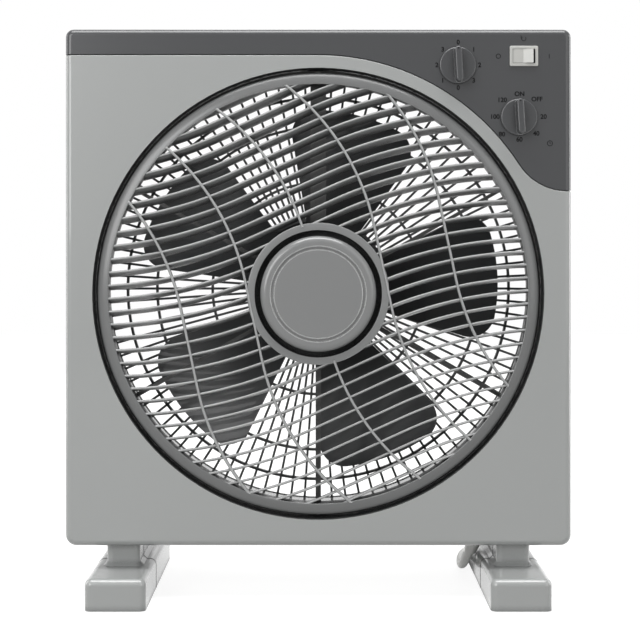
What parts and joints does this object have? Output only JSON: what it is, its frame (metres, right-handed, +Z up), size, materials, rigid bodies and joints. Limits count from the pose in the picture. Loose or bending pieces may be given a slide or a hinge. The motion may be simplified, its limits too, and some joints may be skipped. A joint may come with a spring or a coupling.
{
  "type": "box fan",
  "caption": "Square grey floor fan with a turning slatted front louver, bladed rotor, rear guard, dark control corner with knobs and rocker, skid feet and mains lead.",
  "frame": {"origin": "on the floor, under the middle of the four feet", "axes": "front louver faces -Y, +X is the right side seen from the front, +Z is up"},
  "size_m": [0.374, 0.3515, 0.423],
  "materials": {
    "housing_grey": "satin",
    "panel_dark": "satin",
    "louver_grey": "satin",
    "guard_grey": "satin",
    "blade_dark": "satin",
    "knob_dark": "satin",
    "white_plastic": "glossy",
    "switch_black": "moulded",
    "white_cord": "satin",
    "pad_rubber": "matte",
    "motor_cast": "cast",
    "bridge_steel": "painted",
    "core_steel": "laminated",
    "winding_copper": "enamelled wire",
    "bush_bronze": "sintered",
    "shaft_steel": "ground",
    "screw_steel": "plated",
    "pin_brass": "nickel plated",
    "capacitor_white": "moulded"
  },
  "bodies": {
    "housing": {"front_shell": "housing_grey", "rear_shell": "housing_grey", "control_panel": "panel_dark", "rear_guard": "guard_grey", "foot_pads": "pad_rubber", "louver_bridge": "bridge_steel", "louver_motor": "switch_black", "louver_motor_lead": "pad_rubber", "bridge_screws": "screw_steel", "louver_motor_screws": "screw_steel", "motor_front_bell": "motor_cast", "motor_rear_bell": "motor_cast", "stator_core": "core_steel", "stator_windings": "winding_copper", "front_bearing": "bush_bronze", "rear_bearing": "bush_bronze", "motor_bolts": "screw_steel", "motor_mount_screws": "screw_steel", "capacitor": "capacitor_white", "terminal_block": "capacitor_white", "speed_switch": "switch_black", "timer": "switch_black", "switch_housing": "white_plastic", "rocker_pin": "shaft_steel", "housing_screws": "screw_steel", "guard_screws": "screw_steel", "cord_boot": "white_cord", "mains_cord": "white_cord", "cord_coil": "white_cord", "cord_tail": "white_cord", "cord_tie": "pad_rubber", "plug_body": "white_cord", "plug_pins": "pin_brass"},
    "fan": {"motor_shaft": "shaft_steel", "rotor": "core_steel", "fan_blade": "blade_dark", "drive_pin": "shaft_steel", "blade_nut": "blade_dark"},
    "louver": {"louver_grille": "louver_grey", "hub_cap": "louver_grey", "louver_shaft": "shaft_steel", "cap_screws": "screw_steel"},
    "speed_control": {"speed_knob": "knob_dark", "speed_spindle": "shaft_steel"},
    "timer_control": {"timer_knob": "knob_dark", "timer_spindle": "shaft_steel"},
    "louver_rocker": {"rocker": "white_plastic"}
  },
  "joints": [
    {"name": "fan_spin", "type": "hinge", "parent": "housing", "child": "fan", "pos_m": [0, 0, 0.2274], "axis": [0, 1, 0], "continuous": true},
    {"name": "louver_spin", "type": "hinge", "parent": "housing", "child": "louver", "pos_m": [0, -0.05, 0.2274], "axis": [0, 1, 0], "continuous": true},
    {"name": "speed_turn", "type": "hinge", "parent": "housing", "child": "speed_control", "pos_m": [0.1029, -0.058, 0.396], "axis": [0, 1, 0], "continuous": true},
    {"name": "timer_turn", "type": "hinge", "parent": "housing", "child": "timer_control", "pos_m": [0.1481, -0.058, 0.3578], "axis": [0, 1, 0], "range_deg": [0, 315]},
    {"name": "rocker_tip", "type": "hinge", "parent": "housing", "child": "louver_rocker", "pos_m": [0.1517, -0.056, 0.4028], "axis": [0, 0, 1], "range_deg": [0, 16]}
  ]
}
